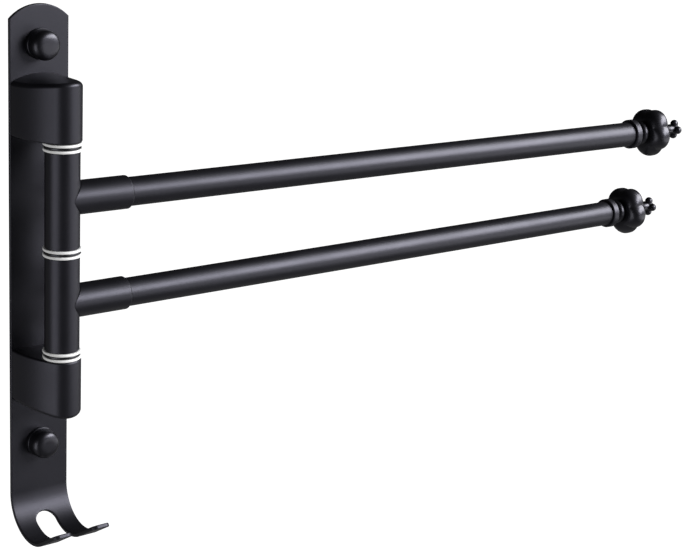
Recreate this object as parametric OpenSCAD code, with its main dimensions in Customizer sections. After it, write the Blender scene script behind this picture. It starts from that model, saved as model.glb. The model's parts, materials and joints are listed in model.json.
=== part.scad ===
// Swing arm towel bar: a wall plate with a forked hook carries two brackets and a pivot rod,
// and two bars with crown finials swing on the rod one above the other.
// The wall is the plane y = 0, the object stands out of it towards -y, and z is up.
// z = 0 lies half way between the two wall screw holes.

/* [Back plate] */
// Width of the plate
plate_w = 31; // [26:0.5:40]
// Thickness of the plate
plate_t = 2; // [1.6:0.1:3]
// Rise of the arched top over its corners
arch_rise = 6.4; // [3:0.2:12]
// Height of the plate above the upper wall screw hole
top_margin = 18.5; // [14:0.5:30]
// Diameter of a wall screw hole
wall_hole_d = 5.2; // [4:0.1:6]

/* [Hook] */
// Length of flat plate between the lower wall screw hole and the bend
hook_drop = 25; // [16:0.5:40]
// Inner radius of the bend
hook_r = 18; // [12:0.5:26]
// Angle that the plate bends through, in degrees
hook_angle = 122; // [100:1:140]
// Length of the straight prongs after the bend
prong_l = 16.5; // [8:0.5:24]
// Width of the slot between the prongs
slot_w = 11; // [6:0.5:14]
// Angle of the bend at which the slot's round end has its centre, in degrees
slot_angle = 54; // [40:1:70]
// Corner radius of a prong's end
prong_round = 3; // [1:0.5:4]

/* [Brackets] */
// Height of a bracket at its middle
bracket_h = 28.8; // [26:0.2:40]
// How far a bracket's sides lie within the plate's edges
bracket_inset = 0.3; // [0:0.1:2]
// Radius of a bracket's nose round the pivot axis
nose_r = 9.15; // [8.5:0.05:11]
// Rise of a bracket's crowned end over its corners
crown_rise = 3.6; // [1:0.2:5]
// Depth of the blind rod bore in a bracket
rod_bore_depth = 20; // [14:0.5:24]
// Diameter of the screws that hold the brackets
bracket_screw_d = 4; // [3:0.5:5]
// Length of the screws that hold the brackets
bracket_screw_l = 12; // [8:0.5:14]
// Distance between the two screws of one bracket
bracket_screw_pitch = 15; // [12:0.5:18]

/* [Pivot] */
// Distance of the pivot axis from the wall
pivot_out = 23.2; // [20:0.2:32]
// Diameter of the pivot rod
rod_d = 6; // [5:0.5:7]
// Outer diameter of a sleeve
sleeve_d = 16.6; // [15:0.2:18]
// Height of a sleeve
sleeve_h = 46.4; // [40:0.2:60]
// Diameter of a bush's barrel
barrel_d = 9.2; // [8.6:0.2:10.4]
// Length of a bush's barrel
barrel_l = 9; // [6:0.5:11]
// Diameter of a bush's flange, the white ring that shows
flange_d = 18.3; // [17:0.1:20]
// Thickness of a bush's flange
flange_t = 1.25; // [1:0.05:2]
// Diameter of a thrust washer
washer_d = 17.4; // [15:0.1:18]
// Thickness of a thrust washer
washer_t = 1.25; // [0.8:0.05:2]

/* [Arms] */
// Reach of an arm from the pivot axis to the finial's tip
arm_reach = 406; // [300:0.5:500]
// Outer diameter of a bar
bar_d = 14; // [12.4:0.1:14.4]
// Wall of a bar's tube
bar_wall = 1; // [0.8:0.1:1.6]
// Outer diameter of a socket
socket_d = 16.2; // [15.6:0.1:16.4]
// Reach of a socket's open end from the pivot axis
socket_reach = 34.4; // [28:0.2:44]
// Distance of the bar's inner end from the pivot axis
bar_start = 14; // [12:0.5:18]
// Diameter of the screw that draws a bar into its sleeve
arm_screw_d = 4; // [3:0.5:4.5]
// Distance of that screw's end from the pivot axis
arm_screw_end = 25; // [22:0.5:28]
// Length of the threaded plugs in a bar's ends
plug_l = 14; // [12:0.5:18]
// Angle at which the upper arm stands out from the wall at rest, in degrees
upper_swing_angle = 3; // [0:1:20]
// Angle at which the lower arm stands out from the wall at rest, in degrees
lower_swing_angle = 1; // [0:1:20]

/* [Finials] */
// Diameter of the collar at a bar's end
collar_d = 16.8; // [14.6:0.1:18]
// Thickness of the collar
collar_t = 4; // [1.5:0.1:5]
// Diameter of the groove behind the bead
groove_d = 10.6; // [9:0.2:12]
// Width of the groove behind the bead
groove_l = 2.6; // [0.8:0.1:4]
// Diameter of the bead
bead_d = 13.6; // [12:0.2:14.4]
// Width of the bead
bead_l = 4.8; // [2:0.1:5.4]
// Number of lobes round the crown
crown_lobes = 5; // [4:1:6]
// Turn of the crown's first lobe from the upright, in degrees
crown_turn = 29; // [0:1:72]
// Diameter of the circle round the crown's lobes
crown_d = 28.4; // [25:0.2:31]
// Diameter of one lobe of the crown
lobe_d = 12; // [11:0.2:13]
// Diameter of the circle round the lobes where they draw in towards the tip
crown_front_d = 19.5; // [16:0.5:23]
// Diameter of one lobe where it draws in
lobe_front_d = 10.2; // [9:0.2:11]
// Distance from the widest part of the crown to where its lobes draw in
lobe_l = 5; // [4:0.5:8]
// Diameter of the round core between the lobes
core_d = 17; // [15:0.2:19]
// Distance from the bead to the widest part of the crown
crown_station = 6.2; // [5.2:0.1:8]
// Distance from the widest part of the crown to the middle of the button
crown_nose_l = 20; // [15:0.5:24]
// Diameter over two facing lobes of the button at the tip
button_d = 11.2; // [9.6:0.2:12]
// Diameter of one lobe of the button
bud_d = 4.6; // [4:0.1:5]
// Diameter of the round middle of the button
button_core_d = 6.4; // [5.6:0.1:7.6]
// Diameter of the threaded stud
stud_d = 5; // [4:0.5:6]
// Length of the stud inside the plug
stud_l = 10; // [6:0.5:11]

/* [Screw caps] */
// Gap between the upper cap and the upper bracket
upper_cap_gap = 6.1; // [2:0.1:20]
// Gap between the lower cap and the lower bracket
lower_cap_gap = 13.7; // [2:0.1:30]
// Diameter of a cap's base
cap_base_d = 14.8; // [14:0.2:18]
// Thickness of a cap's base flange
cap_base_t = 2; // [1.4:0.1:3]
// Diameter of the boss that the cap turns onto
cap_boss_d = 11.2; // [10.8:0.2:12]
// Height of the boss over the flange
cap_boss_h = 3; // [2.6:0.1:3.4]
// Diameter of the domed cap
cap_d = 14.4; // [13.6:0.2:17]
// Height of the domed cap
cap_h = 7.2; // [6:0.1:9]
// Wall left at the top of the cap
cap_top = 1.5; // [1.2:0.1:2]
// Width of the recess for the wall screw's head
head_recess_d = 8.8; // [8:0.2:9.2]
// Depth of the recess for the wall screw's head
head_recess_h = 2.4; // [2:0.1:2.6]

/* [Hidden] */

// Running gap of a rod in a bush, measured on the radius
rod_gap = 0.05;
// Gap of a piece that is pressed or screwed into another, measured on the radius
seat_gap = 0.02;
// Gap round a screw's shank in a plain hole, measured on the radius
screw_gap = 0.1;
// Gap on each side of a thrust washer
thrust_gap = 0.125;
// How far a countersunk head lies under the surface
head_sink = 0.1;
// Number of lobes round the button at the tip
button_lobes = 4;
// Gap between a bar and its socket, measured on the radius
socket_gap = 0.05;
// Chamfer at a socket's open end
socket_chamfer = 0.9;
// Chamfer on the outer edges of flanges, washers and collars
ring_chamfer = 0.25;
// Share of a screw's diameter by which its head is wider on each side
head_share = 0.45;
// Share of a screw's diameter that the chamfer at its point takes
point_share = 0.25;
// Share of a cap's height that stands straight before the dome starts
cap_wall_share = 0.4;
// Power of the dome's outline, where 1 is an ellipse and less is squarer
cap_round_share = 0.75;
// Share of the core's radius that the crown's nose has at its wide end
nose_share = 0.85;
// Share of the button's middle that the crown's nose has at its narrow end
neck_share = 0.8;
// Overrun of every cut
cut = 1;
// Facets of a full turn
turn_fn = 96;
// Facets of a sphere
ball_fn = 48;
// Steps along an outline's arc
arc_steps = 24;
// Steps along a bracket's curved side
side_steps = 12;
// Steps along the hook's bend
bend_steps = 36;
// Steps along a small corner's arc
corner_steps = 6;
// Steps along a dome's outline
dome_steps = 10;

bend_r = hook_r + plate_t;
bracket_w = plate_w - 2 * bracket_inset;
arch_r = (pow(plate_w / 2, 2) + pow(arch_rise, 2)) / (2 * arch_rise);
crown_r = (pow(bracket_w / 2, 2) + pow(crown_rise, 2)) / (2 * crown_rise);

stack_h = 2 * flange_t + washer_t + 2 * thrust_gap;
arm_pitch = sleeve_h + stack_h;
pivot_half = sleeve_h + 1.5 * stack_h;
pivot_lift = (lower_cap_gap - upper_cap_gap) / 2;
upper_arm_z = pivot_lift + arm_pitch / 2;
lower_arm_z = pivot_lift - arm_pitch / 2;
// Half the distance between the two wall screw holes, one in the middle of each cap
wall_hole_z = pivot_half + bracket_h + (upper_cap_gap + lower_cap_gap + cap_base_d) / 2;
plate_top = wall_hole_z + top_margin;
bend_z = -wall_hole_z - hook_drop;
rod_half = pivot_half + rod_bore_depth;
rod_bore_d = rod_d + 2 * seat_gap;
bush_bore_d = rod_d + 2 * rod_gap;
barrel_bore_d = barrel_d + 2 * seat_gap;

bar_inner_d = bar_d - 2 * bar_wall;
finial_l = collar_t + groove_l + bead_l + crown_station + crown_nose_l + button_core_d / 2;
bar_end = arm_reach - finial_l;
bar_bore_d = bar_d + 2 * socket_gap;
bracket_head_d = bracket_screw_d * (1 + 2 * head_share);
arm_head_d = arm_screw_d * (1 + 2 * head_share);
arm_head_x = barrel_bore_d / 2 + head_sink;
cap_wall_h = cap_h * cap_wall_share;

// Points on a circle's arc, from angle a0 to a1
function arc(cx, cy, r, a0, a1, steps) =
    [for (i = [0:steps]) let (a = a0 + (a1 - a0) * i / steps) [cx + r * cos(a), cy + r * sin(a)]];

// Plan of a bracket: its sides leave the plate squarely and curve in until they meet a round nose
module bracket_plan() {
    half = bracket_w / 2;
    reach = pivot_out - plate_t;
    side_r = (pow(half, 2) + pow(reach, 2) - pow(nose_r, 2)) / (2 * (half - nose_r));
    touch = atan2(-reach, side_r - half);
    last = touch * (side_steps - 1) / side_steps;
    right = arc(half - side_r, -plate_t, side_r, 0, last, side_steps - 1);
    left = [for (i = [side_steps - 1:-1:0]) [-right[i].x, right[i].y]];
    nose = arc(0, -pivot_out, nose_r, touch, -180 - touch, arc_steps);
    polygon(concat(right, nose, left));
}

// Side view of the bent sheet, with distances from the wall across and heights up
module sheet_side() {
    end_x = prong_l * sin(-hook_angle);
    end_y = -prong_l * cos(-hook_angle);
    outer = arc(-bend_r, bend_z, bend_r, 0, -hook_angle, bend_steps);
    inner = arc(-bend_r, bend_z, hook_r, -hook_angle, 0, bend_steps);
    polygon(concat(
        [[0, plate_top]], outer,
        [outer[bend_steps] + [end_x, end_y], inner[0] + [end_x, end_y]],
        inner, [[-plate_t, plate_top]]
    ));
}

// Front view of the plate: straight sides under an arched top
module sheet_front() {
    half_turn = asin(plate_w / 2 / arch_r);
    low = bend_z - 2 * bend_r;
    polygon(concat(
        [[-plate_w / 2, low], [plate_w / 2, low]],
        arc(0, plate_top - arch_r, arch_r, 90 - half_turn, 90 + half_turn, arc_steps)
    ));
}

// What is cut off a prong's end to round its corner, which is at the origin
module corner_off() {
    r = prong_round;
    half_step = 45 / corner_steps;
    translate([-r, -r]) polygon(concat(
        [[r + cut, 0]],
        arc(0, 0, r, half_step, 90 - half_step, corner_steps - 1),
        [[0, r + cut], [r + cut, r + cut]]
    ));
}

// Stands a shape drawn along z out of the wall at a height, with its foot on the wall's plane
module out_of_wall(z) {
    translate([0, 0, z]) rotate([90, 0, 0]) children();
}

// Puts a shape drawn at a turn of the hook's bend into place: x across, y along the plate, z inwards
module at_bend(turn) {
    translate([0, -bend_r, bend_z]) rotate([-turn, 0, 0]) translate([0, bend_r, 0])
        rotate([-90, 0, 0]) mirror([0, 0, 1]) children();
}

// Turns a shape drawn from the pivot axis along x to an arm's height and swing
module on_arm(z, swing) {
    translate([0, -pivot_out, z]) rotate([0, 0, -swing]) children();
}

// Lays a shape drawn along z from the pivot axis along x
module along_arm() {
    rotate([0, 90, 0]) children();
}

// Turned disc with a bore and small chamfers on its outer edges, standing on z = 0
module ring(d, bore, t) {
    rotate_extrude($fn = turn_fn) polygon([
        [bore / 2, 0], [d / 2 - ring_chamfer, 0], [d / 2, ring_chamfer],
        [d / 2, t - ring_chamfer], [d / 2 - ring_chamfer, t], [bore / 2, t]
    ]);
}

// Countersunk screw whose head's flat side is at z = 0 and whose point is at z = l
module countersunk_screw(d, head_d, l) {
    head_h = (head_d - d) / 2;
    rotate_extrude($fn = turn_fn) polygon([
        [0, 0], [head_d / 2, 0], [d / 2, head_h],
        [d / 2, l - d * point_share], [d / 2 - d * point_share, l], [0, l]
    ]);
}

// Room for such a screw: a countersink and a plain hole
module countersunk_hole(d, head_d, l) {
    head_h = (head_d - d) / 2;
    translate([0, 0, -cut]) cylinder(d = head_d + 2 * screw_gap, h = cut + screw_gap, $fn = turn_fn);
    translate([0, 0, screw_gap])
        cylinder(d1 = head_d + 2 * screw_gap, d2 = d + 2 * screw_gap, h = head_h, $fn = turn_fn);
    cylinder(d = d + 2 * screw_gap, h = l, $fn = turn_fn);
}

// Flanged bush: the flange stands on z = 0 and the barrel goes down from it
module bush() {
    difference() {
        union() {
            ring(flange_d, bush_bore_d, flange_t);
            translate([0, 0, -barrel_l]) cylinder(d = barrel_d, h = barrel_l, $fn = turn_fn);
        }
        translate([0, 0, -barrel_l - cut])
            cylinder(d = bush_bore_d, h = barrel_l + flange_t + 2 * cut, $fn = turn_fn);
    }
}

module washer() {
    ring(washer_d, bush_bore_d, washer_t);
}

// One bracket, with its flat end on z = 0 and its crowned end up
module bracket() {
    difference() {
        intersection() {
            linear_extrude(bracket_h) bracket_plan();
            translate([0, cut, bracket_h - crown_r]) rotate([90, 0, 0])
                cylinder(r = crown_r, h = pivot_out + nose_r + 2 * cut, $fn = 2 * turn_fn);
        }
        translate([0, -pivot_out, -cut])
            cylinder(d = barrel_bore_d, h = barrel_l + seat_gap + cut, $fn = turn_fn);
        translate([0, -pivot_out, -cut])
            cylinder(d = rod_bore_d, h = rod_bore_depth + cut, $fn = turn_fn);
        for (z = bracket_screw_heights())
            out_of_wall(z) cylinder(d = bracket_screw_d + 2 * seat_gap,
                h = bracket_screw_l + screw_gap, $fn = turn_fn);
    }
}

// Heights of a bracket's two screws over its flat end
function bracket_screw_heights() =
    let (middle = (bracket_h - crown_rise / 2) / 2)
    [middle - bracket_screw_pitch / 2, middle + bracket_screw_pitch / 2];

// Puts what is drawn for a bracket at the upper place, or turned over at the lower place
module bracket_place(upper) {
    translate([0, 0, pivot_lift]) mirror([0, 0, upper ? 0 : 1])
        translate([0, 0, pivot_half]) children();
}

module bracket_screws() {
    for (z = bracket_screw_heights())
        translate([0, -head_sink, 0]) out_of_wall(z)
            countersunk_screw(bracket_screw_d, bracket_head_d, bracket_screw_l - head_sink);
}

module bracket_bush() {
    translate([0, -pivot_out, 0]) mirror([0, 0, 1]) bush();
}

module back_plate() {
    color("#2b2b30") difference() {
        intersection() {
            translate([-plate_w, 0, 0]) rotate([90, 0, 90]) linear_extrude(2 * plate_w) sheet_side();
            translate([0, cut, 0]) out_of_wall(0) linear_extrude(2 * bend_r + prong_l) sheet_front();
        }
        // corners of the prongs' ends
        at_bend(hook_angle) translate([0, 0, -cut]) linear_extrude(plate_t + 2 * cut)
            for (side = [0, 1]) mirror([side, 0, 0]) {
                translate([plate_w / 2, prong_l]) corner_off();
                translate([slot_w / 2, prong_l]) mirror([1, 0, 0]) corner_off();
            }
        // slot between the prongs, round where it starts
        at_bend(slot_angle) {
            translate([0, 0, -cut]) cylinder(d = slot_w, h = hook_r, $fn = turn_fn);
            translate([-slot_w / 2, 0, -cut])
                cube([slot_w, bend_r + prong_l, 2 * bend_r]);
        }
        for (z = [-wall_hole_z, wall_hole_z])
            translate([0, cut, 0]) out_of_wall(z)
                cylinder(d = wall_hole_d, h = plate_t + 2 * cut, $fn = turn_fn);
        for (upper = [false, true])
            bracket_place(upper) for (z = bracket_screw_heights())
                out_of_wall(z) countersunk_hole(bracket_screw_d, bracket_head_d, plate_t + cut);
    }
}

module upper_bracket() {
    color("#202024") bracket_place(true) bracket();
}

module lower_bracket() {
    color("#202024") bracket_place(false) bracket();
}

module upper_bracket_screws() {
    color("silver") bracket_place(true) bracket_screws();
}

module lower_bracket_screws() {
    color("silver") bracket_place(false) bracket_screws();
}

module pivot_rod() {
    color("silver") translate([0, -pivot_out, pivot_lift - rod_half])
        cylinder(d = rod_d, h = 2 * rod_half, $fn = turn_fn);
}

module upper_bracket_bush() {
    color("whitesmoke") bracket_place(true) bracket_bush();
}

module lower_bracket_bush() {
    color("whitesmoke") bracket_place(false) bracket_bush();
}

// Washer between the bush flanges whose stack has its middle at a height
module washer_at(z) {
    color("#3a3a3e") translate([0, -pivot_out, z - washer_t / 2]) washer();
}

module upper_washer() {
    washer_at(pivot_lift + arm_pitch);
}

module middle_washer() {
    washer_at(pivot_lift);
}

module lower_washer() {
    washer_at(pivot_lift - arm_pitch);
}

// Base of a screw cap: a flange on the plate and a boss with room for the wall screw's head
module cap_base(z) {
    color("#1a1a1d") translate([0, -plate_t, 0]) out_of_wall(z) difference() {
        union() {
            cylinder(d = cap_base_d, h = cap_base_t, $fn = turn_fn);
            cylinder(d = cap_boss_d, h = cap_base_t + cap_boss_h, $fn = turn_fn);
        }
        translate([0, 0, -cut])
            cylinder(d = wall_hole_d + 2 * screw_gap, h = cap_base_t + cap_boss_h + 2 * cut, $fn = turn_fn);
        translate([0, 0, cap_base_t + cap_boss_h - head_recess_h])
            cylinder(d = head_recess_d, h = head_recess_h + cut, $fn = turn_fn);
    }
}

module upper_cap_base() {
    cap_base(wall_hole_z);
}

module lower_cap_base() {
    cap_base(-wall_hole_z);
}

// Domed cap, hollow so that it turns onto its base's boss
module cap(z) {
    r = cap_d / 2;
    bore_r = cap_boss_d / 2 + seat_gap;
    dome_h = cap_h - cap_wall_h;
    color("#17171a") translate([0, -plate_t - cap_base_t, 0]) out_of_wall(z)
        rotate_extrude($fn = turn_fn) polygon(concat(
            [[bore_r, 0], [r - ring_chamfer, 0], [r, ring_chamfer], [r, cap_wall_h]],
            [for (i = [1:dome_steps - 1]) let (a = 90 * i / dome_steps)
                [r * pow(cos(a), cap_round_share), cap_wall_h + dome_h * sin(a)]],
            [[0, cap_h], [0, cap_h - cap_top], [bore_r, cap_h - cap_top]]
        ));
}

module upper_cap() {
    cap(wall_hole_z);
}

module lower_cap() {
    cap(-wall_hole_z);
}

// Sleeve round the pivot rod, with a countersunk hole for the arm screw in its wall
module sleeve() {
    color("#232327") difference() {
        translate([0, 0, -sleeve_h / 2]) cylinder(d = sleeve_d, h = sleeve_h, $fn = turn_fn);
        translate([0, 0, -sleeve_h / 2 - cut])
            cylinder(d = barrel_bore_d, h = sleeve_h + 2 * cut, $fn = turn_fn);
        along_arm() translate([0, 0, arm_head_x]) {
            countersunk_hole(arm_screw_d, arm_head_d, sleeve_d);
            translate([0, 0, -arm_head_x])
                cylinder(d = arm_head_d + 2 * screw_gap, h = arm_head_x, $fn = turn_fn);
        }
    }
}

// Socket that seats on the sleeve's side and takes the bar
module socket() {
    r = socket_d / 2;
    bore_r = bar_bore_d / 2;
    hole_r = arm_screw_d / 2 + screw_gap;
    color("#29292d") difference() {
        along_arm() rotate_extrude($fn = turn_fn) polygon([
            [hole_r, 0], [r, 0], [r, socket_reach - socket_chamfer],
            [r - socket_chamfer, socket_reach], [bore_r, socket_reach],
            [bore_r, bar_start], [hole_r, bar_start]
        ]);
        translate([0, 0, -socket_d]) cylinder(d = sleeve_d, h = 2 * socket_d, $fn = turn_fn);
    }
}

module arm_screw() {
    color("silver") along_arm() translate([0, 0, arm_head_x])
        countersunk_screw(arm_screw_d, arm_head_d, arm_screw_end - arm_head_x);
}

module bar() {
    color("#2a2a2f") along_arm() translate([0, 0, bar_start]) difference() {
        cylinder(d = bar_d, h = bar_end - bar_start, $fn = turn_fn);
        translate([0, 0, -cut])
            cylinder(d = bar_inner_d, h = bar_end - bar_start + 2 * cut, $fn = turn_fn);
    }
}

// Threaded plug inside a bar's end, from one distance along the arm on
module plug(x, hole_d) {
    color("silver") along_arm() translate([0, 0, x]) difference() {
        cylinder(d = bar_inner_d - 2 * seat_gap, h = plug_l, $fn = turn_fn);
        translate([0, 0, -cut])
            cylinder(d = hole_d + 2 * seat_gap, h = plug_l + 2 * cut, $fn = turn_fn);
    }
}

module root_plug() {
    plug(bar_start, arm_screw_d);
}

module end_plug() {
    plug(bar_end - plug_l, stud_d);
}

module collar() {
    color("#1c1c1f") along_arm() translate([0, 0, bar_end])
        ring(collar_d, stud_d + 2 * seat_gap, collar_t);
}

// Balls in a ring, the first of them turned by an angle from the upright
module lobes(count, turn, over_d, ball_d) {
    for (i = [0:count - 1]) rotate([0, 0, 180 + turn + 360 * i / count])
        translate([(over_d - ball_d) / 2, 0, 0]) sphere(d = ball_d, $fn = ball_fn);
}

// Crown finial: stud, groove, bead, lobes round a core, and a lobed button on a tapering nose
module finial() {
    bead_z = collar_t + groove_l;
    crown_z = bead_z + bead_l + crown_station;
    button_z = crown_z + crown_nose_l;
    groove_r = groove_d / 2;
    color("#141416") along_arm() translate([0, 0, bar_end]) {
        translate([0, 0, -stud_l]) cylinder(d = stud_d, h = stud_l + bead_z, $fn = turn_fn);
        rotate_extrude($fn = turn_fn) polygon(concat(
            [[0, collar_t], [groove_r, collar_t], [groove_r, bead_z]],
            arc((bead_d - bead_l) / 2, bead_z + bead_l / 2, bead_l / 2, -90, 90, corner_steps),
            [[groove_r, bead_z + bead_l], [groove_r, crown_z],
                [core_d / 2 * nose_share, crown_z],
                [button_core_d / 2 * neck_share, button_z], [0, button_z]]
        ));
        translate([0, 0, crown_z]) {
            sphere(d = core_d, $fn = ball_fn);
            lobes(crown_lobes, crown_turn, crown_d, lobe_d);
            translate([0, 0, lobe_l]) lobes(crown_lobes, crown_turn, crown_front_d, lobe_front_d);
        }
        translate([0, 0, button_z]) {
            sphere(d = button_core_d, $fn = ball_fn);
            lobes(button_lobes, 0, button_d, bud_d);
        }
    }
}

module upper_sleeve() {
    on_arm(upper_arm_z, upper_swing_angle) sleeve();
}

// Bush in one end of a sleeve: the top end, or the bottom end turned over
module sleeve_bush(top) {
    color("whitesmoke") mirror([0, 0, top ? 0 : 1]) translate([0, 0, sleeve_h / 2]) bush();
}

module upper_sleeve_top_bush() {
    on_arm(upper_arm_z, upper_swing_angle) sleeve_bush(true);
}

module upper_sleeve_bottom_bush() {
    on_arm(upper_arm_z, upper_swing_angle) sleeve_bush(false);
}

module upper_socket() {
    on_arm(upper_arm_z, upper_swing_angle) socket();
}

module upper_arm_screw() {
    on_arm(upper_arm_z, upper_swing_angle) arm_screw();
}

module upper_bar() {
    on_arm(upper_arm_z, upper_swing_angle) bar();
}

module upper_root_plug() {
    on_arm(upper_arm_z, upper_swing_angle) root_plug();
}

module upper_end_plug() {
    on_arm(upper_arm_z, upper_swing_angle) end_plug();
}

module upper_collar() {
    on_arm(upper_arm_z, upper_swing_angle) collar();
}

module upper_finial() {
    on_arm(upper_arm_z, upper_swing_angle) finial();
}

module lower_sleeve() {
    on_arm(lower_arm_z, lower_swing_angle) sleeve();
}

module lower_sleeve_top_bush() {
    on_arm(lower_arm_z, lower_swing_angle) sleeve_bush(true);
}

module lower_sleeve_bottom_bush() {
    on_arm(lower_arm_z, lower_swing_angle) sleeve_bush(false);
}

module lower_socket() {
    on_arm(lower_arm_z, lower_swing_angle) socket();
}

module lower_arm_screw() {
    on_arm(lower_arm_z, lower_swing_angle) arm_screw();
}

module lower_bar() {
    on_arm(lower_arm_z, lower_swing_angle) bar();
}

module lower_root_plug() {
    on_arm(lower_arm_z, lower_swing_angle) root_plug();
}

module lower_end_plug() {
    on_arm(lower_arm_z, lower_swing_angle) end_plug();
}

module lower_collar() {
    on_arm(lower_arm_z, lower_swing_angle) collar();
}

module lower_finial() {
    on_arm(lower_arm_z, lower_swing_angle) finial();
}

back_plate();
upper_bracket();
lower_bracket();
upper_bracket_screws();
lower_bracket_screws();
pivot_rod();
upper_bracket_bush();
lower_bracket_bush();
upper_washer();
middle_washer();
lower_washer();
upper_cap_base();
lower_cap_base();
upper_cap();
lower_cap();
upper_sleeve();
upper_sleeve_top_bush();
upper_sleeve_bottom_bush();
upper_socket();
upper_arm_screw();
upper_bar();
upper_root_plug();
upper_end_plug();
upper_collar();
upper_finial();
lower_sleeve();
lower_sleeve_top_bush();
lower_sleeve_bottom_bush();
lower_socket();
lower_arm_screw();
lower_bar();
lower_root_plug();
lower_end_plug();
lower_collar();
lower_finial();
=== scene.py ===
"""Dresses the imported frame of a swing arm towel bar: plate, brackets, rings, arms, finials and caps."""

import json
import math

import bmesh
import bpy
from bpy.props import FloatProperty, FloatVectorProperty, IntProperty, PointerProperty
from mathutils import Matrix, Vector


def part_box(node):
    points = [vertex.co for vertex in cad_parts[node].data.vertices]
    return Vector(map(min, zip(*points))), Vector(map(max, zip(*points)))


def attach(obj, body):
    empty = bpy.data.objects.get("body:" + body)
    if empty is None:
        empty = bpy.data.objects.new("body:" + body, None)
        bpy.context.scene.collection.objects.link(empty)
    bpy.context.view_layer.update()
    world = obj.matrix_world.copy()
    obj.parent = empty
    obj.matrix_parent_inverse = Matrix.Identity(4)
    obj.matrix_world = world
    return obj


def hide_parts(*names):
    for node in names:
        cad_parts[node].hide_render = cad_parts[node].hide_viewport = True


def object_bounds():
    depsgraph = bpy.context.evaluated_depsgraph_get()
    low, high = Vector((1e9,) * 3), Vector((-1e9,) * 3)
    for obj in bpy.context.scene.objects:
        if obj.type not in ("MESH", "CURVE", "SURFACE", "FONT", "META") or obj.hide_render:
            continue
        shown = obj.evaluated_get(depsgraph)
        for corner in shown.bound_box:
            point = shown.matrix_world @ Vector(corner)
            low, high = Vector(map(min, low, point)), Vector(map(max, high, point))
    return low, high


bl_info = {
    "name": "Swing Arm Towel Bar",
    "version": (1, 0, 0),
    "blender": (4, 5, 0),
    "location": "3D View > Sidebar > Towel Bar",
    "description": "Dresses a wall-mounted towel bar with two swinging arms",
    "category": "Object",
}

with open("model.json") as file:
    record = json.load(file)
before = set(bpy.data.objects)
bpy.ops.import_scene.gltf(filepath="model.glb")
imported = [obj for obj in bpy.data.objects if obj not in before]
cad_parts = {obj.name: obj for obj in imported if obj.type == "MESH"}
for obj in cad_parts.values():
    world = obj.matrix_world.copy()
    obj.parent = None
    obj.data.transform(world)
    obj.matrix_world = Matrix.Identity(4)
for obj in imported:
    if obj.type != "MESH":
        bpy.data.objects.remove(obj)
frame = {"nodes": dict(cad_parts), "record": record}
CAD_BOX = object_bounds()


def middle(node_name):
    """The middle of a CAD node's box."""
    low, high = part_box(node_name)
    return (low + high) / 2


def extent(node_name):
    """The width, depth and height of a CAD node's box."""
    low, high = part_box(node_name)
    return high - low


PIVOT = middle("pivot_rod")
PLATE_LOW, PLATE_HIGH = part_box("back_plate")
PLATE_THICK = -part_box("upper_bracket")[1].y
ARMS = ("upper", "lower")


# Sizes and colours that a user would change

def length(name, default, description, high=0.5):
    return FloatProperty(
        name=name, description=description, default=default, min=0.0001, max=high,
        precision=5, unit="LENGTH",
    )


def angle(name, default, description):
    return FloatProperty(
        name=name, description=description, default=math.radians(default),
        min=0, max=math.pi, subtype="ANGLE", unit="ROTATION",
    )


def share(name, default, description):
    return FloatProperty(name=name, description=description, default=default, min=0, max=1, subtype="FACTOR")


def whole(name, default, description, low, high):
    return IntProperty(name=name, description=description, default=default, min=low, max=high)


def colour(name, default, description):
    return FloatVectorProperty(
        name=name, description=description, default=default, min=0, max=1, size=3, subtype="COLOR",
    )


class PlateSizes(bpy.types.PropertyGroup):
    arch_rise: length("Arch Rise", 0.0064, "Rise of the arched top over its corners")
    hook_radius: length("Hook Radius", 0.018, "Inner radius of the hook's bend")
    hook_angle: angle("Hook Angle", 122, "Angle that the plate bends through")
    slot_width: length("Slot Width", 0.011, "Width of the slot between the prongs")
    slot_angle: angle("Slot Angle", 54, "Turn of the bend at which the slot's round end has its centre")
    prong_length: length("Prong Length", 0.0165, "Straight length of a prong after the bend")
    prong_round: length("Prong Rounding", 0.003, "Corner radius of a prong's end")
    edge_round: length("Edge Rounding", 0.00045, "Rounding of the sheet's edges")
    wall_hole: length("Wall Hole", 0.0026, "Radius of a wall screw hole")
    screw_hole: length("Screw Hole", 0.0021, "Radius of a bracket screw's hole at the front")
    screw_sink: length("Countersink", 0.0039, "Radius of a bracket screw's hole at the back")


class BracketSizes(bpy.types.PropertyGroup):
    crown_rise: length("Crown Rise", 0.0036, "Rise of the crowned end over its corners")
    crown_round: length("Crown Rounding", 0.0019, "Rounding of the edge round the crowned end")
    foot_round: length("Foot Rounding", 0.0011, "Rounding of the edge round the flat end")


class PivotSizes(bpy.types.PropertyGroup):
    ring_round: length("Ring Rounding", 0.00035, "Rounding of the rings' outer edges")
    barrel_radius: length("Barrel Radius", 0.0046, "Radius of a bush's barrel")
    bore_radius: length("Bore Radius", 0.00305, "Radius of the bore in a bush or washer")
    flange_height: length("Flange Height", 0.00125, "Thickness of a bush's flange")
    sleeve_round: length("Sleeve Rounding", 0.0004, "Rounding of a sleeve's edges")


class ArmSizes(bpy.types.PropertyGroup):
    bar_wall: length("Bar Wall", 0.001, "Wall of a bar's tube")
    bar_round: length("Bar Rounding", 0.0003, "Rounding of a bar's ends")
    socket_chamfer: length("Socket Chamfer", 0.0009, "Chamfer at a socket's open end")
    seat_round: length("Seat Rounding", 0.0006, "Rounding of a socket's edge where it seats on the sleeve")
    collar_round: length("Collar Rounding", 0.0005, "Rounding of a collar's edges")


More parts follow.
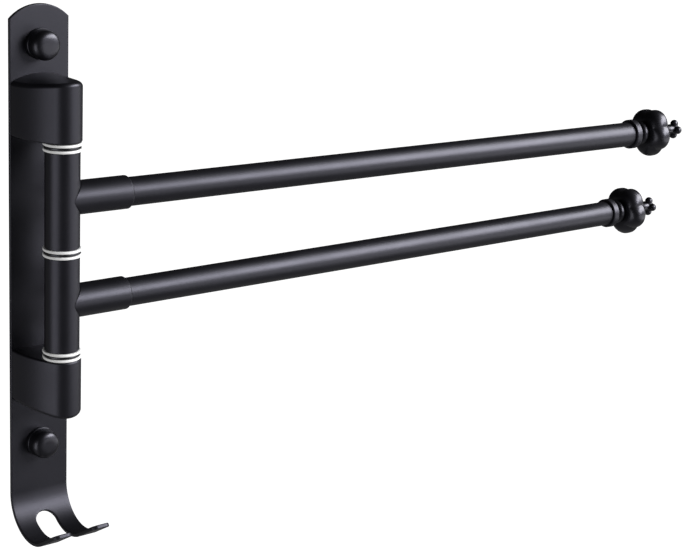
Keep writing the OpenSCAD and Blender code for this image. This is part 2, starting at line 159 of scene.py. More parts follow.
class FinialSizes(bpy.types.PropertyGroup):
    stud_radius: length("Stud Radius", 0.0025, "Radius of the threaded stud")
    stud_length: length("Stud Length", 0.01, "Length of the stud inside the bar")
    groove_radius: length("Groove Radius", 0.0053, "Radius of the groove behind the bead")
    groove_length: length("Groove Length", 0.0026, "Width of the groove behind the bead")
    bead_radius: length("Bead Radius", 0.0068, "Radius of the bead")
    bead_length: length("Bead Length", 0.0048, "Width of the bead")
    crown_lobes: whole("Crown Lobes", 5, "Number of lobes round the crown", 4, 6)
    crown_turn: angle("Crown Turn", 29, "Turn of the crown's first lobe from the upright")
    crown_radius: length("Crown Radius", 0.0141, "Reach of the crown's lobes from the axis")
    crown_round: length("Crown Rounding", 0.006, "Rounding of the crown's back")
    side_radius: length("Side Radius", 0.0138, "Reach of the crown's outline where its side turns in")
    side_length: length("Side Length", 0.0098, "Distance from the bead to where the crown's side turns in")
    crown_length: length("Crown Length", 0.0124, "Length of the crown from the bead to its blunt front")
    front_radius: length("Front Radius", 0.0078, "Reach of the crown's outline at its blunt front")
    front_round: length("Front Rounding", 0.003, "Rounding of the crown's front corners")
    lobe_share: share("Lobe Share", 0.6, "Radius of a lobe as a share of the crown's reach")
    lobes_from: length("Lobes From", 0.006, "Distance from the axis at which the lobes start to show")
    nose_radius: length("Nose Radius", 0.0046, "Radius of the nose where it leaves the crown")
    neck_radius: length("Neck Radius", 0.0026, "Radius of the neck behind the button")
    button_core: length("Button Core", 0.0032, "Radius of the round middle of the button")
    button_radius: length("Button Radius", 0.0056, "Reach of the button's buds from the axis")
    bud_radius: length("Bud Radius", 0.0023, "Radius of one bud of the button")
    button_buds: whole("Button Buds", 4, "Number of buds round the button", 3, 6)


class CapSizes(bpy.types.PropertyGroup):
    boss_radius: length("Boss Radius", 0.0056, "Radius of the boss that a cap turns onto")
    hole_radius: length("Hole Radius", 0.0027, "Radius of the hole for the wall screw")
    recess_radius: length("Recess Radius", 0.0044, "Radius of the recess for the screw's head")
    recess_depth: length("Recess Depth", 0.0024, "Depth of the recess for the screw's head")
    flange_height: length("Flange Height", 0.002, "Thickness of a cap base's flange")
    side_height: length("Side Height", 0.0032, "Straight height of a cap's side")
    dome_power: share("Dome Power", 0.45, "Shape of the dome, where 1 is an ellipse and less is squarer")
    top_wall: length("Top Wall", 0.0015, "Wall left at the top of a cap")
    rim_round: length("Rim Rounding", 0.0004, "Rounding of a cap's rim")


class Finishes(bpy.types.PropertyGroup):
    plate: colour("Plate", (0.004, 0.004, 0.005), "Satin black paint of the plate")
    satin: colour("Satin Black", (0.003, 0.003, 0.004), "Satin black of brackets, sleeves, bars and collars")
    gloss: colour("Gloss Black", (0.002, 0.002, 0.0025), "Glossier black of caps and finials")
    nylon: colour("Nylon", (0.86, 0.86, 0.86), "White nylon of the bushes")
    dark_steel: colour("Dark Steel", (0.05, 0.05, 0.055), "Blackened steel of the washers")
    zinc: colour("Zinc", (0.62, 0.62, 0.63), "Bright zinc of rod, screws and plugs")
    facets: whole("Facets", 96, "Facets of a full turn", 24, 256)


# Finishes, each in its own node tree on the piece's own coordinates

# Where most of a noise lies, and where the dark tone ends and the pale one starts
NOISE_LOW, NOISE_HIGH = 0.3, 0.7
TONE_LOW, TONE_HIGH = 0.35, 0.65


def new_finish(name):
    """A new material with its node tree and its shader."""
    material = bpy.data.materials.new(name)
    material.use_nodes = True
    tree = material.node_tree
    return material, tree, tree.nodes["Principled BSDF"]


def node(tree, kind, inputs=None, **settings):
    """A new shader node with some of its inputs and settings given."""
    made = tree.nodes.new(kind)
    for key, value in settings.items():
        setattr(made, key, value)
    for key, value in (inputs or {}).items():
        made.inputs[key].default_value = value
    return made


def object_noise(tree, scale, detail, roughness=0.5, stretch=(1, 1, 1)):
    """Noise on the piece's own coordinates, in features of 1 / scale metres."""
    own = node(tree, "ShaderNodeTexCoord")
    mapping = node(tree, "ShaderNodeMapping", {"Scale": stretch})
    noise = node(tree, "ShaderNodeTexNoise", {"Scale": scale, "Detail": detail, "Roughness": roughness})
    tree.links.new(own.outputs["Object"], mapping.inputs["Vector"])
    tree.links.new(mapping.outputs["Vector"], noise.inputs["Vector"])
    return noise


def spread(tree, source, low, high, target):
    """Feeds a noise to a socket, spread from low to high."""
    ranged = node(tree, "ShaderNodeMapRange", {
        "From Min": NOISE_LOW, "From Max": NOISE_HIGH, "To Min": low, "To Max": high,
    })
    tree.links.new(source.outputs["Fac"], ranged.inputs["Value"])
    tree.links.new(ranged.outputs["Result"], target)


def tint(tree, shader, source, tone, dark, pale):
    """Varies the base colour by a noise, from a dark to a pale share of a tone."""
    ramp = node(tree, "ShaderNodeValToRGB")
    steps = ((TONE_LOW, dark), (TONE_HIGH, pale))
    for element, (position, share_of_tone) in zip(ramp.color_ramp.elements, steps):
        element.position = position
        element.color = (*[channel * share_of_tone for channel in tone], 1)
    tree.links.new(source.outputs["Fac"], ramp.inputs["Fac"])
    tree.links.new(ramp.outputs["Color"], shader.inputs["Base Color"])


def grain(tree, shader, layers):
    """Chains bumps, each a (noise, strength, height), into the shader's normal."""
    before = None
    for source, strength, height in layers:
        bump = node(tree, "ShaderNodeBump", {"Strength": strength, "Distance": height})
        tree.links.new(source.outputs["Fac"], bump.inputs["Height"])
        if before:
            tree.links.new(before.outputs["Normal"], bump.inputs["Normal"])
        before = bump
    tree.links.new(before.outputs["Normal"], shader.inputs["Normal"])


def paint(name, tone, roughness, flow, coat=0.0):
    """Sprayed black paint: fine grain, an orange peel as strong as its flow, and patches of uneven film."""
    material, tree, shader = new_finish(name)
    shader.inputs["IOR"].default_value = 1.5
    shader.inputs["Specular Tint"].default_value = (0.83, 0.82, 1, 1)
    shader.inputs["Coat Weight"].default_value = coat
    shader.inputs["Coat Roughness"].default_value = 0.14
    fine = object_noise(tree, scale=2600, detail=2)
    peel = object_noise(tree, scale=420, detail=3)
    film = object_noise(tree, scale=28, detail=4, roughness=0.6)
    uneven = 0.035
    tint(tree, shader, film, tone, dark=0.85, pale=1.2)
    spread(tree, film, roughness - uneven, roughness + uneven, shader.inputs["Roughness"])
    grain(tree, shader, [(peel, flow, 0.00004), (fine, flow * 1.6, 0.000012)])
    return material


def nylon(name, tone):
    """Turned white nylon with faint tool marks round the axis."""
    material, tree, shader = new_finish(name)
    shader.inputs["Subsurface Weight"].default_value = 0.12
    shader.inputs["Subsurface Radius"].default_value = (0.001, 0.001, 0.001)
    shader.inputs["Subsurface Scale"].default_value = 0.5
    mottle = object_noise(tree, scale=160, detail=3)
    marks = object_noise(tree, scale=60, detail=2, stretch=(1, 1, 40))
    tint(tree, shader, mottle, tone, dark=0.97, pale=1)
    spread(tree, mottle, low=0.42, high=0.5, target=shader.inputs["Roughness"])
    grain(tree, shader, [(marks, 0.12, 0.00002)])
    return material


def steel(name, tone, roughness):
    """Turned steel with fine marks and patches of plating."""
    material, tree, shader = new_finish(name)
    shader.inputs["Metallic"].default_value = 1
    marks = object_noise(tree, scale=900, detail=2, stretch=(1, 1, 6))
    patches = object_noise(tree, scale=120, detail=3)
    tint(tree, shader, patches, tone, dark=0.85, pale=1.08)
    spread(tree, marks, roughness - 0.06, roughness + 0.08, shader.inputs["Roughness"])
    grain(tree, shader, [(marks, 0.25, 0.00001)])
    return material


FINISHES = {}


def finish_of(slot):
    """The material of a slot, made when it is first asked for."""
    if slot not in FINISHES:
        tones = bpy.context.scene.towel_finishes
        makers = {
            "plate_black": lambda: paint("plate_paint", tones.plate, roughness=0.45, flow=0.3),
            "satin_black": lambda: paint("satin_paint", tones.satin, roughness=0.43, flow=0.3),
            "gloss_black": lambda: paint("gloss_paint", tones.gloss, roughness=0.4, flow=0.06, coat=0.15),
            "white_nylon": lambda: nylon("white_nylon", tones.nylon),
            "dark_steel": lambda: steel("blackened_steel", tones.dark_steel, roughness=0.38),
            "zinc_steel": lambda: steel("bright_zinc", tones.zinc, roughness=0.3),
        }
        FINISHES[slot] = makers[slot]()
    return FINISHES[slot]


# Shapes

# Points nearer than this, in metres, are one point
SAME_POINT = 1e-7
# Edges with a larger bend than this, in degrees, are shaded sharp
SHARP_BEND = 35


def rounded(corners, closed=False, steps=4):
    """Profile points from corners (radius, height, rounding): each rounded corner becomes an arc."""
    points = []
    count = len(corners)
    for i, (x, y, rounding) in enumerate(corners):
        corner = Vector((x, y))
        if not rounding or (not closed and i in (0, count - 1)):
            points.append(corner)
            continue
        before = (Vector(corners[i - 1][:2]) - corner).normalized()
        after = (Vector(corners[(i + 1) % count][:2]) - corner).normalized()
        half = before.angle(after) / 2
        centre = corner + (before + after).normalized() * (rounding / math.sin(half))
        start = corner + before * (rounding / math.tan(half)) - centre
        sweep = start.angle_signed(corner + after * (rounding / math.tan(half)) - centre)
        for k in range(steps + 1):
            turn = Matrix.Rotation(-sweep * k / steps, 2)
            points.append(centre + turn @ start)
    return points


def turned(profile, closed=False, facets=None):
    """A bmesh of a profile of (radius, height) points spun once round z."""
    shape = bmesh.new()
    verts = [shape.verts.new((max(p[0], 0), 0, p[1])) for p in profile]
    pairs = list(zip(verts, verts[1:] + verts[:1] if closed else verts[1:]))
    edges = [shape.edges.new(pair) for pair in pairs]
    bmesh.ops.spin(
        shape, geom=verts + edges, cent=(0, 0, 0), axis=(0, 0, 1), angle=math.tau,
        steps=facets or bpy.context.scene.towel_finishes.facets, use_merge=True,
    )
    return shape


def bored(corners):
    """A turned shape with a bore, from the corners of its closed profile."""
    return turned(rounded(corners, closed=True), closed=True)


def tube(bore, outer, tall, edge):
    """A tube that stands on z = 0, with its outer edges rounded."""
    return bored([(bore, 0, 0), (outer, 0, edge), (outer, tall, edge), (bore, tall, 0)])


def circle_points(x, y, radius, start, end, steps):
    """Points (x, y) along an arc about a centre, from one turn to another."""
    turns = [start + (end - start) * k / steps for k in range(steps + 1)]
    return [(x + radius * math.cos(t), y + radius * math.sin(t)) for t in turns]


def place(shape, matrix):
    """Moves a shape by a matrix, and gives it back."""
    bmesh.ops.transform(shape, matrix=matrix, verts=shape.verts)
    return shape


def upright(z, over=False):
    """Stands a turned shape on the pivot axis at a height, turned over if asked."""
    turn = Matrix.Rotation(math.pi, 4, "X") if over else Matrix.Identity(4)
    return Matrix.Translation((PIVOT.x, PIVOT.y, z)) @ turn


def out_of_wall(z, out):
    """Lays a turned shape with its axis out of the wall, its foot some way out."""
    return Matrix.Translation((0, -out, z)) @ Matrix.Rotation(math.pi / 2, 4, "X")


def arm_way(arm):
    """An arm's swing at rest, from its far plug as seen from its sleeve."""
    far = middle(f"{arm}_end_plug") - middle(f"{arm}_sleeve")
    return math.atan2(-far.y, far.x)


def along_arm(arm, distance=0.0):
    """Lays a turned shape along an arm, its foot at a distance from the pivot axis."""
    return (
        Matrix.Translation(middle(f"{arm}_sleeve"))
        @ Matrix.Rotation(-arm_way(arm), 4, "Z")
        @ Matrix.Rotation(math.pi / 2, 4, "Y")
        @ Matrix.Translation((0, 0, distance))
    )


def span_on_arm(node_name, arm):
    """(start, end) of a turned node along its arm, from its box."""
    swing = arm_way(arm)
    radius = extent(node_name).z / 2
    half = (extent(node_name).x / 2 - radius * math.sin(swing)) / math.cos(swing)
    centre = (middle(node_name) - middle(f"{arm}_sleeve")).length
    return centre - half, centre + half


def piece(name, shape, body, slot, *nodes):
    """Writes a shape to a new object that rides on a body in place of CAD nodes."""
    bmesh.ops.remove_doubles(shape, verts=shape.verts, dist=SAME_POINT)
    bmesh.ops.recalc_face_normals(shape, faces=shape.faces)
    mesh = bpy.data.meshes.new(name)
    shape.to_mesh(mesh)
    shape.free()
    mesh.shade_smooth()
    mesh.set_sharp_from_angle(angle=math.radians(SHARP_BEND))
    mesh.materials.append(finish_of(slot))
    made = bpy.data.objects.new(name, mesh)
    bpy.context.scene.collection.objects.link(made)
    weighted = made.modifiers.new("even_flats", "WEIGHTED_NORMAL")
    weighted.keep_sharp = True
    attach(made, body)
    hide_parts(*nodes)


# Plate with its hook

# Facets of the arched top, a prong's corner, the slot's end and a hole, and rows of faces round the bend
ARCH_FACETS = 40
CORNER_FACETS = 8
SLOT_FACETS = 32
HOLE_FACETS = 48
BEND_ROWS = 40
# Points of the flat sheet nearer than this, in metres, are merged
SHEET_MERGE = 1e-6


def sheet_outline(sizes, sheet):
    """The flat sheet's outline, with the slot, before it is bent."""
    half = sheet["half_width"]
    arch = (half ** 2 + sizes.arch_rise ** 2) / (2 * sizes.arch_rise)
    arch_turn = math.asin(half / arch)
    slot = sizes.slot_width / 2
    end = sheet["end"]
    corner = sizes.prong_round
    right = math.pi / 2
    points = circle_points(0, PLATE_HIGH.z - arch, arch, right - arch_turn, right + arch_turn, ARCH_FACETS)
    points += circle_points(-half + corner, end + corner, corner, math.pi, 1.5 * math.pi, CORNER_FACETS)
    points += circle_points(-slot - corner, end + corner, corner, -right, 0, CORNER_FACETS)
    points += circle_points(0, sheet["slot_centre"], slot, math.pi, 0, SLOT_FACETS)
    points += circle_points(slot + corner, end + corner, corner, math.pi, 1.5 * math.pi, CORNER_FACETS)
    points += circle_points(half - corner, end + corner, corner, -right, 0, CORNER_FACETS)
    return points


def flat_sheet(outline, holes, thickness, rounding):
    """A mesh of a flat sheet with round edges, from an outline and holes, through a flat curve."""
    curve = bpy.data.curves.new("sheet", "CURVE")
    curve.dimensions = "2D"
    curve.fill_mode = "BOTH"
    curve.extrude = thickness / 2 - rounding
    curve.bevel_depth = rounding
    curve.bevel_resolution = 2
    curve.offset = -rounding
    for ring in [outline, *holes]:
        spline = curve.splines.new("POLY")
        spline.points.add(len(ring) - 1)
        for point, (x, y) in zip(spline.points, ring):
            point.co = (x, y, 0, 1)
        spline.use_cyclic_u = True
    holder = bpy.data.objects.new("sheet", curve)
    mesh = bpy.data.meshes.new_from_object(holder)
    shape = bmesh.new()
    shape.from_mesh(mesh)
    bpy.data.objects.remove(holder)
    bpy.data.curves.remove(curve)
    bpy.data.meshes.remove(mesh)
    return shape


def bend(point, sizes, sheet):
    """Where a point of the flat sheet lies once the hook is bent: x across, y along, z through it."""
    x, along, through = point
    rod = sheet["mid_radius"]
    run = sheet["bend"] - along
    turn = min(max(run / rod, 0), sizes.hook_angle)
    rest = run - turn * rod
    reach = rod - through
    y = reach * math.cos(turn) - rest * math.sin(turn) - rod - PLATE_THICK / 2
    z = sheet["bend"] - reach * math.sin(turn) - rest * math.cos(turn)
    return Vector((x, y, z))


def bracket_screw_heights():
    """Heights of the holes for the brackets' own screws."""
    places = []
    for side in ARMS:
        low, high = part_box(f"{side}_bracket_screws")
        radius = extent(f"{side}_bracket_screws").x / 2
        places += [low.z + radius, high.z - radius]
    return places


def sink_screw_holes(shape, sizes, heights):
    """Widens the holes of the brackets' screws towards the sheet's back, as countersinks."""
    for vert in shape.verts:
        near = [z for z in heights if math.hypot(vert.co.x, vert.co.y - z) < sizes.screw_sink]
        if near:
            away = Vector((vert.co.x, vert.co.y - near[0]))
            deep = 0.5 - vert.co.z / PLATE_THICK
            away *= 1 + (sizes.screw_sink / sizes.screw_hole - 1) * deep
            vert.co.xy = (away.x, near[0] + away.y)


def cut_rows(shape, sizes, sheet):
    """Cuts the flat sheet into rows of faces where it is going to be bent."""
    for k in range(BEND_ROWS + 1):
        height = sheet["bend"] - sheet["mid_radius"] * sizes.hook_angle * k / BEND_ROWS
        bmesh.ops.bisect_plane(
            shape, geom=shape.verts[:] + shape.edges[:] + shape.faces[:],
            plane_co=(0, height, 0), plane_no=(0, 1, 0), dist=SAME_POINT,
        )


class TOWEL_OT_plate(bpy.types.Operator):
    """Build the plate with its forked hook"""

    bl_idname = "towel.plate"
    bl_label = "Plate and Hook"

    def execute(self, context):
        sizes = context.scene.towel_plate
        mid = sizes.hook_radius + PLATE_THICK / 2
        sheet = {"half_width": PLATE_HIGH.x, "mid_radius": mid}
        sheet["bend"] = PLATE_LOW.z + sizes.hook_radius + PLATE_THICK
        sheet["slot_centre"] = sheet["bend"] - mid * sizes.slot_angle
        sheet["end"] = sheet["bend"] - mid * sizes.hook_angle - sizes.prong_length
        screw_heights = bracket_screw_heights()
        holes = [(middle(f"{side}_cap").z, sizes.wall_hole) for side in ARMS]
        holes += [(z, sizes.screw_hole) for z in screw_heights]
        rings = [circle_points(0, z, radius, math.tau, 0, HOLE_FACETS)[:-1] for z, radius in holes]
        shape = flat_sheet(sheet_outline(sizes, sheet), rings, PLATE_THICK, sizes.edge_round)
        bmesh.ops.remove_doubles(shape, verts=shape.verts, dist=SHEET_MERGE)
        sink_screw_holes(shape, sizes, screw_heights)
        cut_rows(shape, sizes, sheet)
        for vert in shape.verts:
            vert.co = bend(vert.co, sizes, sheet)
        piece("plate_with_hook", shape, "wall_frame", "plate_black", "back_plate")
        return {"FINISHED"}


# Brackets

# Facets of a hollow side, the round nose and the back of a loop round a bracket
SIDE_FACETS = 16
NOSE_FACETS = 40
BACK_FACETS = 12
# Facets of the rounding at the flat end and at the crowned end, and rows of faces between them
FOOT_FACETS = 4
CROWN_FACETS = 8
WALL_ROWS = 6
# Rings of faces that the crowned end is parted into, so that it can bend
TOP_RINGS = 6


def bracket_loop(shape, inset, height, half, nose, deep):
    """One closed loop round a bracket at a height, inset from its sides, with its back deep in the plate."""
    reach = -PIVOT.y - PLATE_THICK
    side = (half ** 2 + reach ** 2 - nose ** 2) / (2 * (half - nose))
    touch = math.atan2(-reach, side - half)
    right = [(half - inset, deep - PLATE_THICK)]
    right += circle_points(half - side, -PLATE_THICK, side - inset, 0, touch, SIDE_FACETS)[:-1]
    left = [(-x, y) for x, y in reversed(right)]
    front = circle_points(PIVOT.x, PIVOT.y, nose - inset, touch, -math.pi - touch, NOSE_FACETS)
    back = [((half - inset) * (2 * k / BACK_FACETS - 1), deep - PLATE_THICK) for k in range(1, BACK_FACETS)]
    verts = [shape.verts.new((x, y, height)) for x, y in right + front + left + back]
    return [shape.edges.new(pair) for pair in zip(verts, verts[1:] + verts[:1])]


def quarter(radius, facets):
    """A quarter round as (inset, height) points, from its foot, inset by its radius, up to its side."""
    turns = [math.pi / 2 * k / facets for k in range(facets + 1)]
    return [(radius * (1 - math.sin(turn)), radius * (1 - math.cos(turn))) for turn in turns]


def bracket_block(node_name, sizes):
    """A bracket's block, standing on z = 0, with its crowned end up."""
    half = extent(node_name).x / 2
    tall = extent(node_name).z
    nose = PIVOT.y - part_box(node_name)[0].y
    crown = (half ** 2 + sizes.crown_rise ** 2) / (2 * sizes.crown_rise)
    deep = 2 * sizes.crown_round
    foot = sizes.foot_round
    levels = quarter(foot, FOOT_FACETS)
    levels += [(0, foot + (tall - sizes.crown_round - foot) * k / WALL_ROWS) for k in range(1, WALL_ROWS)]
    levels += [(inset, tall - drop) for drop, inset in quarter(sizes.crown_round, CROWN_FACETS)]
    shape = bmesh.new()
    loops = [bracket_loop(shape, inset, height, half, nose, deep) for inset, height in levels]
    for below, above in zip(loops, loops[1:]):
        bmesh.ops.bridge_loops(shape, edges=below + above)
    bottom = bmesh.ops.contextual_create(shape, geom=loops[0])["faces"]
    top = bmesh.ops.contextual_create(shape, geom=loops[-1])["faces"]
    hub = Vector((0, (PIVOT.y - PLATE_THICK) / 2, tall))
    for ring in range(TOP_RINGS, 1, -1):
        bmesh.ops.inset_individual(shape, faces=top, thickness=0, depth=0)
        smaller = (ring - 1) / ring
        bmesh.ops.scale(
            shape, vec=(smaller, smaller, 1), verts=top[0].verts[:], space=Matrix.Translation(-hub),
        )
    bmesh.ops.poke(shape, faces=top + bottom)
    # The crowned end curves down to both sides, and the back inside the plate is cut off
    for vert in shape.verts:
        drop = crown - math.sqrt(crown ** 2 - min(abs(vert.co.x), half) ** 2)
        vert.co.z -= drop * vert.co.z / tall
    cut = bmesh.ops.bisect_plane(
        shape, geom=shape.verts[:] + shape.edges[:] + shape.faces[:],
        plane_co=(0, -PLATE_THICK, 0), plane_no=(0, 1, 0), clear_outer=True, dist=SAME_POINT,
    )
    rim = [e for e in cut["geom_cut"] if isinstance(e, bmesh.types.BMEdge)]
    bmesh.ops.contextual_create(shape, geom=rim)
    return shape


class TOWEL_OT_brackets(bpy.types.Operator):
    """Build the two rounded brackets that hold the pivot rod"""

    bl_idname = "towel.brackets"
    bl_label = "Brackets"

    def execute(self, context):
        sizes = context.scene.towel_brackets
        for side in ARMS:
            node_name = f"{side}_bracket"
            shape = bracket_block(node_name, sizes)
            low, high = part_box(node_name)
            if side == "lower":
                bmesh.ops.reverse_faces(shape, faces=shape.faces)
                place(shape, Matrix.Translation((0, 0, high.z)) @ Matrix.Scale(-1, 4, (0, 0, 1)))
            else:
                place(shape, Matrix.Translation((0, 0, low.z)))
            piece(f"{side}_bracket_block", shape, "wall_frame", "satin_black", node_name)
        return {"FINISHED"}


# Rings on the pivot: bushes with their white flanges, and washers

def bush_shape(node_name, sizes):
    """A bush with its flange on top, standing with its barrel's end on z = 0."""
    flange = extent(node_name).x / 2
    tall = extent(node_name).z
    shoulder = tall - sizes.flange_height
    bore = sizes.bore_radius
    return bored([
        (bore, 0, 0), (sizes.barrel_radius, 0, sizes.ring_round), (sizes.barrel_radius, shoulder, 0),
        (flange, shoulder, sizes.ring_round), (flange, tall, sizes.ring_round), (bore, tall, 0),
    ])


class TOWEL_OT_rings(bpy.types.Operator):
    """Build the nylon bushes and the steel washers on the pivot"""

    bl_idname = "towel.rings"
    bl_label = "Bushes and Washers"

    def execute(self, context):
        sizes = context.scene.towel_pivot
        bushes = [("upper_bracket_bush", "wall_frame", True), ("lower_bracket_bush", "wall_frame", False)]
        for arm in ARMS:
            bushes.append((f"{arm}_sleeve_top_bush", f"{arm}_arm", False))
            bushes.append((f"{arm}_sleeve_bottom_bush", f"{arm}_arm", True))
        for node_name, body, over in bushes:
            low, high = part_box(node_name)
            shape = place(bush_shape(node_name, sizes), upright(high.z if over else low.z, over))
            piece(f"{node_name}_ring", shape, body, "white_nylon", node_name)
        for node_name in ("upper_washer", "middle_washer", "lower_washer"):
            size = extent(node_name)
            shape = tube(sizes.bore_radius, size.x / 2, size.z, sizes.ring_round)
            place(shape, upright(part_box(node_name)[0].z))
            piece(f"{node_name}_ring", shape, "wall_frame", "dark_steel", node_name)
        return {"FINISHED"}


# Arms: sleeves, sockets, bars and collars

class TOWEL_OT_sleeves(bpy.types.Operator):
    """Build the two sleeves that turn on the pivot"""

    bl_idname = "towel.sleeves"
    bl_label = "Sleeves"

    def execute(self, context):
        sizes = context.scene.towel_pivot
        for arm in ARMS:
            node_name = f"{arm}_sleeve"
            size = extent(node_name)
            shape = tube(sizes.barrel_radius, size.x / 2, size.z, sizes.sleeve_round)
            place(shape, upright(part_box(node_name)[0].z))
            piece(f"{arm}_sleeve_tube", shape, f"{arm}_arm", "satin_black", node_name)
        return {"FINISHED"}


class TOWEL_OT_sockets(bpy.types.Operator):
    """Build the sockets that seat on the sleeves and hold the bars"""

    bl_idname = "towel.sockets"
    bl_label = "Sockets"

    def execute(self, context):
        sizes = context.scene.towel_arms
        for arm in ARMS:
            node_name = f"{arm}_socket"
            outer = extent(node_name).z / 2
            reach = span_on_arm(node_name, arm)[1]
            sleeve = extent(f"{arm}_sleeve").x / 2
            bore = extent(f"{arm}_bar").z / 2
            lip = sizes.socket_chamfer
            shape = bored([
                (bore, 0, 0), (outer, 0, sizes.seat_round), (outer, reach - lip, sizes.seat_round),
                (outer - lip, reach, sizes.seat_round / 3), (bore, reach, 0),
            ])
            # The foot follows the sleeve's round side
            for vert in shape.verts:
                if vert.co.z < sleeve:
                    vert.co.z += math.sqrt(max(sleeve ** 2 - vert.co.y ** 2, 0))
            place(shape, along_arm(arm))
            piece(f"{arm}_socket_tube", shape, f"{arm}_arm", "satin_black", node_name)
        return {"FINISHED"}


class TOWEL_OT_bars(bpy.types.Operator):
    """Build the two bars and the collars at their ends"""

    bl_idname = "towel.bars"
    bl_label = "Bars and Collars"

    def execute(self, context):
        sizes = context.scene.towel_arms
        for arm in ARMS:
            outer = extent(f"{arm}_bar").z / 2
            start, end = span_on_arm(f"{arm}_bar", arm)
            shape = tube(outer - sizes.bar_wall, outer, end - start, sizes.bar_round)
            place(shape, along_arm(arm, start))
            piece(f"{arm}_bar_tube", shape, f"{arm}_arm", "satin_black", f"{arm}_bar")
            outer = extent(f"{arm}_collar").z / 2
            start, end = span_on_arm(f"{arm}_collar", arm)
            stud = context.scene.towel_finials.stud_radius
            shape = tube(stud, outer, end - start, sizes.collar_round)
            place(shape, along_arm(arm, start))
            piece(f"{arm}_collar_ring", shape, f"{arm}_arm", "satin_black", f"{arm}_collar")
        return {"FINISHED"}


# Finials

# Small steps and roundings of the finial's profile, in metres
BACK_STEP = 0.0003
NOSE_STEP = 0.0005
NOSE_ROUND = 0.001
NECK_STEP = 0.0015
NECK_ROUND = 0.0012
# Where the neck meets the button, in radii of the button's middle behind its centre
NECK_REACH = 1.1
# Height that the rows of the crown's faces come close to, in metres
ROW_HEIGHT = 0.0008
# Facets of each lobe, the bead, the profile's roundings and the button, from neck to tip
LOBE_FACETS = 32
BEAD_FACETS = 16
PROFILE_FACETS = 16
BUTTON_FACETS = 36
# How sharply the buds meet the button's middle: more is sharper
BUD_CREASE = 24


def lobed_share(turn, sizes):
    """Share of the crown's reach at a turn: one on the lobes' ridges and least in the creases between."""
    # Half a turn from x is up, once the finial lies along its arm
    pitch = math.tau / sizes.crown_lobes
    off = (turn - math.pi - sizes.crown_turn + pitch / 2) % pitch - pitch / 2
    hub = 1 - sizes.lobe_share
    return hub * math.cos(off) + math.sqrt(sizes.lobe_share ** 2 - (hub * math.sin(off)) ** 2)


def ball_reach(way, centre, radius):
    """How far a ray from the origin runs until it leaves a ball, or zero where it misses."""
    along = way.dot(centre)
    inside = radius ** 2 - centre.length_squared + along ** 2
    return max(along + math.sqrt(inside), 0) if inside > 0 else 0


def button_reach(way, sizes):
    """Reach of the button's surface from its middle: buds round a ball, and the neck behind."""
    reaches = [sizes.button_core]
    if way.z < 0:
        reaches.append(sizes.neck_radius / math.hypot(way.x, way.y))
    for k in range(sizes.button_buds):
        turn = math.tau * k / sizes.button_buds
        out = Vector((math.cos(turn), math.sin(turn), 0))
        reaches.append(ball_reach(way, out * (sizes.button_radius - sizes.bud_radius), sizes.bud_radius))
    return sum(reach ** BUD_CREASE for reach in reaches) ** (1 / BUD_CREASE)


def finial_profile(sizes, tip):
    """Profile of the finial before its lobes are shaped, and the height at which the button starts."""
    bead_start = sizes.groove_length
    bead_end = bead_start + sizes.bead_length
    half_bead = sizes.bead_length / 2
    front = bead_end + sizes.crown_length
    button_at = tip - sizes.button_core
    neck_at = button_at - NECK_REACH * sizes.button_core
    profile = [
        (0, -sizes.stud_length), (sizes.stud_radius, -sizes.stud_length), (sizes.stud_radius, 0),
        (sizes.groove_radius, 0), (sizes.groove_radius, bead_start),
    ]
    profile += circle_points(
        sizes.bead_radius - half_bead, bead_start + half_bead, half_bead,
        -math.pi / 2, math.pi / 2, BEAD_FACETS,
    )
    crown = rounded([
        (sizes.groove_radius, bead_end, 0),
        (sizes.crown_radius, bead_end + BACK_STEP, sizes.crown_round),
        (sizes.side_radius, bead_end + sizes.side_length, sizes.front_round),
        (sizes.front_radius, front, sizes.front_round),
        (sizes.nose_radius, front + NOSE_STEP, NOSE_ROUND),
        (sizes.neck_radius, neck_at - NECK_STEP, NECK_ROUND),
        (sizes.neck_radius, neck_at, 0),
    ], steps=PROFILE_FACETS)
    fit = sizes.crown_radius / max(point.x for point in crown)
    for before, after in zip(crown, crown[1:]):
        parts = max(1, round((after - before).length / ROW_HEIGHT))
        for k in range(parts):
            point = before.lerp(after, k / parts)
            profile.append((point.x * (fit if point.x > sizes.lobes_from else 1), point.y))
    profile.append((sizes.neck_radius, neck_at))
    start = math.atan2(neck_at - button_at, sizes.neck_radius)
    button = circle_points(0, button_at, sizes.button_core, start, math.pi / 2, BUTTON_FACETS)
    profile += button[1:-1] + [(0, tip)]
    return profile, neck_at


def finial_shape(sizes, tip):
    """A finial on its stud, standing with its groove's foot on z = 0 and its tip at a height."""
    profile, neck_at = finial_profile(sizes, tip)
    shape = turned(profile, facets=sizes.crown_lobes * LOBE_FACETS)
    place(shape, Matrix.Rotation(sizes.crown_turn, 4, "Z"))
    crown_from = sizes.groove_length + sizes.bead_length
    button_middle = Vector((0, 0, tip - sizes.button_core))
    for vert in shape.verts:
        if vert.co.z > neck_at + SAME_POINT:
            way = (vert.co - button_middle).normalized()
            vert.co = button_middle + way * button_reach(way, sizes)
        elif vert.co.z > crown_from + SAME_POINT:
            radius = math.hypot(vert.co.x, vert.co.y)
            shown = min(max((radius - sizes.lobes_from) / sizes.lobes_from, 0), 1)
            turn = math.atan2(vert.co.y, vert.co.x)
            vert.co.xy *= 1 - shown * (1 - lobed_share(turn, sizes))
    return shape


